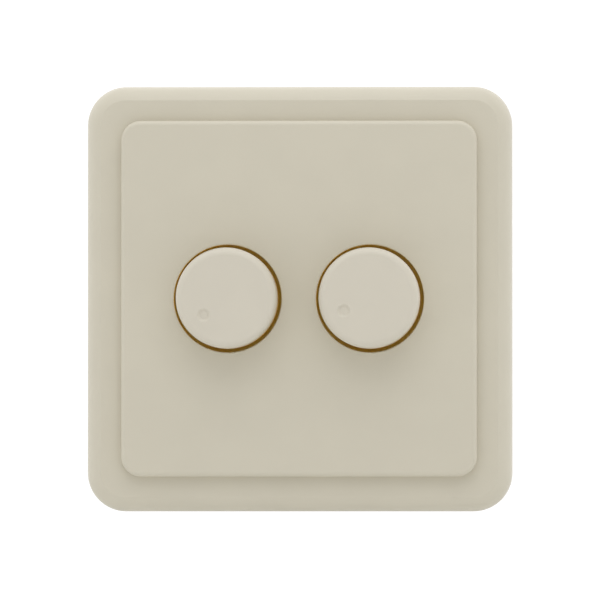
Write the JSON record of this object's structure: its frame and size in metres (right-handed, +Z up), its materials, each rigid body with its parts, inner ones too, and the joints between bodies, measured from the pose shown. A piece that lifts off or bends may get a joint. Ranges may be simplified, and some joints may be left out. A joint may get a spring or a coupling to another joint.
{
  "type": "rotary dimmer",
  "caption": "Square cream cover frame and centre plate with side-by-side push-and-turn dimmer knobs, on a flush-mounted insert with a support ring, spreading claws and screw terminals",
  "frame": {"origin": "centre of the cover frame's rear rim, in the plane of the finished wall", "axes": "+Z up; the front faces -Y and the insert reaches into the wall along +Y; +X to the right as seen from the front"},
  "size_m": [0.08, 0.0515, 0.08],
  "materials": {
    "cream_frame": "smooth cream-white moulded plastic, satin gloss",
    "cream_plate": "smooth cream-white moulded plastic, satin gloss",
    "cream_knob": "smooth cream-white moulded plastic, satin gloss",
    "zinc_steel": "zinc-plated stamped sheet, faint rolling lines",
    "plated_nut": "bright nickel plate",
    "screw_steel": "zinc-plated machine screw",
    "black_housing": "fine-textured black moulding",
    "aluminium_plate": "mill finish sheet",
    "silicone_pad": "soft grey thermal pad",
    "epoxy_black": "moulded epoxy",
    "tinned_copper": "dull tinned copper",
    "board_laminate": "paper-phenolic laminate",
    "carbon_track": "brown phenolic wafer with a carbon track",
    "ferrite": "painted iron-powder ring",
    "enamelled_wire": "enamelled copper wire",
    "film_case": "yellow potted case",
    "can_sleeve": "dark blue shrink sleeve",
    "resistor_lacquer": "beige lacquer with colour bands",
    "fuse_tube": "clear glass tube",
    "nickel_cap": "nickel plate",
    "brass_turned": "turned brass",
    "grey_case": "glass-filled grey moulding",
    "brass_strip": "stamped brass",
    "white_nylon": "natural nylon",
    "black_nylon": "black nylon",
    "spring_steel": "bright spring steel",
    "turned_steel": "turned, nickel-plated steel",
    "claw_steel": "zinc-plated bent sheet"
  },
  "bodies": {
    "insert": {"cover_frame": "cream_frame", "center_plate": "cream_plate", "support_ring": "zinc_steel", "hex_nuts": "plated_nut", "housing_screws": "screw_steel", "triac_screws": "screw_steel", "housing": "black_housing", "heat_sink": "aluminium_plate", "insulating_pads": "silicone_pad", "triac_bodies": "epoxy_black", "triac_leadframes": "tinned_copper", "contact_pins": "tinned_copper", "circuit_board": "board_laminate", "track_wafers": "carbon_track", "choke_cores": "ferrite", "choke_windings": "enamelled_wire", "film_capacitors": "film_case", "electrolytic_capacitor": "can_sleeve", "resistors": "resistor_lacquer", "fuse_glass": "fuse_tube", "fuse_caps": "nickel_cap", "fuse_clips": "nickel_cap", "bushing_left": "brass_turned", "bushing_right": "brass_turned", "pot_body_left": "grey_case", "pot_body_right": "grey_case", "switch_body_left": "grey_case", "switch_body_right": "grey_case", "trimmer_bodies": "grey_case", "terminal_strips": "brass_strip", "return_spring_left": "spring_steel", "return_spring_right": "spring_steel"},
    "plunger_left": {"plunger_left": "white_nylon", "contact_bridge_left": "brass_strip"},
    "dial_left": {"knob_left": "cream_knob", "knob_clip_left": "spring_steel", "spindle_left": "turned_steel"},
    "rotor_left": {"rotor_left": "black_nylon", "wiper_left": "spring_steel"},
    "claw_screw_left": {"claw_screw_left": "screw_steel"},
    "claw_nut_left": {"claw_nut_left": "claw_steel"},
    "claw_left": {"claw_left": "claw_steel"},
    "plunger_right": {"plunger_right": "white_nylon", "contact_bridge_right": "brass_strip"},
    "dial_right": {"knob_right": "cream_knob", "knob_clip_right": "spring_steel", "spindle_right": "turned_steel"},
    "rotor_right": {"rotor_right": "black_nylon", "wiper_right": "spring_steel"},
    "claw_screw_right": {"claw_screw_right": "screw_steel"},
    "claw_nut_right": {"claw_nut_right": "claw_steel"},
    "claw_right": {"claw_right": "claw_steel"},
    "trimmer_upper": {"trimmer_rotor_upper": "white_nylon"},
    "trimmer_lower": {"trimmer_rotor_lower": "white_nylon"},
    "terminal_screw_1": {"terminal_screw_1": "screw_steel"},
    "terminal_cage_1": {"terminal_cage_1": "brass_strip"},
    "terminal_screw_2": {"terminal_screw_2": "screw_steel"},
    "terminal_cage_2": {"terminal_cage_2": "brass_strip"},
    "terminal_screw_3": {"terminal_screw_3": "screw_steel"},
    "terminal_cage_3": {"terminal_cage_3": "brass_strip"}
  },
  "joints": [
    {"name": "push_left", "type": "slide", "parent": "insert", "child": "plunger_left", "axis": [0, 1, 0], "range_m": [0, 0.0016], "stiffness_N_per_m": 500, "springref_m": -0.0025, "deforming": ["return_spring_left"]},
    {"name": "turn_left", "type": "hinge", "parent": "plunger_left", "child": "dial_left", "pos_m": [-0.01337, 0, 0], "axis": [0, 1, 0], "range_deg": [-7, 263]},
    {"name": "rotor_turn_left", "type": "hinge", "parent": "insert", "child": "rotor_left", "pos_m": [-0.01337, 0, 0], "axis": [0, 1, 0], "range_deg": [-7, 263]},
    {"name": "claw_nut_draw_left", "type": "slide", "parent": "insert", "child": "claw_nut_left", "axis": [0, -1, 0], "range_m": [0, 0.006]},
    {"name": "claw_screw_turn_left", "type": "hinge", "parent": "insert", "child": "claw_screw_left", "pos_m": [-0.0248, 0, 0], "axis": [0, 1, 0], "range_deg": [0, 4320]},
    {"name": "claw_swing_left", "type": "hinge", "parent": "claw_nut_left", "child": "claw_left", "pos_m": [-0.0248, 0.0192, 0], "axis": [0, 0, -1], "range_deg": [0, 18]},
    {"name": "push_right", "type": "slide", "parent": "insert", "child": "plunger_right", "axis": [0, 1, 0], "range_m": [0, 0.0016], "stiffness_N_per_m": 500, "springref_m": -0.0025, "deforming": ["return_spring_right"]},
    {"name": "turn_right", "type": "hinge", "parent": "plunger_right", "child": "dial_right", "pos_m": [0.01337, 0, 0], "axis": [0, 1, 0], "range_deg": [-17.5, 252.5]},
    {"name": "rotor_turn_right", "type": "hinge", "parent": "insert", "child": "rotor_right", "pos_m": [0.01337, 0, 0], "axis": [0, 1, 0], "range_deg": [-17.5, 252.5]},
    {"name": "claw_nut_draw_right", "type": "slide", "parent": "insert", "child": "claw_nut_right", "axis": [0, -1, 0], "range_m": [0, 0.006]},
    {"name": "claw_screw_turn_right", "type": "hinge", "parent": "insert", "child": "claw_screw_right", "pos_m": [0.0248, 0, 0], "axis": [0, 1, 0], "range_deg": [0, 4320]},
    {"name": "claw_swing_right", "type": "hinge", "parent": "claw_nut_right", "child": "claw_right", "pos_m": [0.0248, 0.0192, 0], "axis": [0, 0, 1], "range_deg": [0, 18]},
    {"name": "trim_upper", "type": "hinge", "parent": "insert", "child": "trimmer_upper", "pos_m": [0, 0, 0.0046], "axis": [0, 1, 0], "range_deg": [-105, 105]},
    {"name": "trim_lower", "type": "hinge", "parent": "insert", "child": "trimmer_lower", "pos_m": [0, 0, -0.0046], "axis": [0, 1, 0], "range_deg": [-105, 105]},
    {"name": "terminal_cage_rise_1", "type": "slide", "parent": "insert", "child": "terminal_cage_1", "axis": [0, 1, 0], "range_m": [0, 0.003]},
    {"name": "terminal_screw_turn_1", "type": "hinge", "parent": "insert", "child": "terminal_screw_1", "pos_m": [-0.009, 0, -0.0155], "axis": [0, -1, 0], "range_deg": [0, 1800]},
    {"name": "terminal_cage_rise_2", "type": "slide", "parent": "insert", "child": "terminal_cage_2", "axis": [0, 1, 0], "range_m": [0, 0.003]},
    {"name": "terminal_screw_turn_2", "type": "hinge", "parent": "insert", "child": "terminal_screw_2", "pos_m": [0, 0, -0.0155], "axis": [0, -1, 0], "range_deg": [0, 1800]},
    {"name": "terminal_cage_rise_3", "type": "slide", "parent": "insert", "child": "terminal_cage_3", "axis": [0, 1, 0], "range_m": [0, 0.003]},
    {"name": "terminal_screw_turn_3", "type": "hinge", "parent": "insert", "child": "terminal_screw_3", "pos_m": [0.009, 0, -0.0155], "axis": [0, -1, 0], "range_deg": [0, 1800]}
  ],
  "couplings": [
    {"joint": "rotor_turn_left", "follows": "turn_left", "ratio": 1},
    {"joint": "claw_screw_turn_left", "follows": "claw_nut_draw_left", "rad_per_m": 12566},
    {"joint": "claw_swing_left", "follows": "claw_nut_draw_left", "rad_per_m": 52.359},
    {"joint": "rotor_turn_right", "follows": "turn_right", "ratio": 1},
    {"joint": "claw_screw_turn_right", "follows": "claw_nut_draw_right", "rad_per_m": 12566},
    {"joint": "claw_swing_right", "follows": "claw_nut_draw_right", "rad_per_m": 52.359},
    {"joint": "terminal_screw_turn_1", "follows": "terminal_cage_rise_1", "rad_per_m": 10472},
    {"joint": "terminal_screw_turn_2", "follows": "terminal_cage_rise_2", "rad_per_m": 10472},
    {"joint": "terminal_screw_turn_3", "follows": "terminal_cage_rise_3", "rad_per_m": 10472}
  ]
}
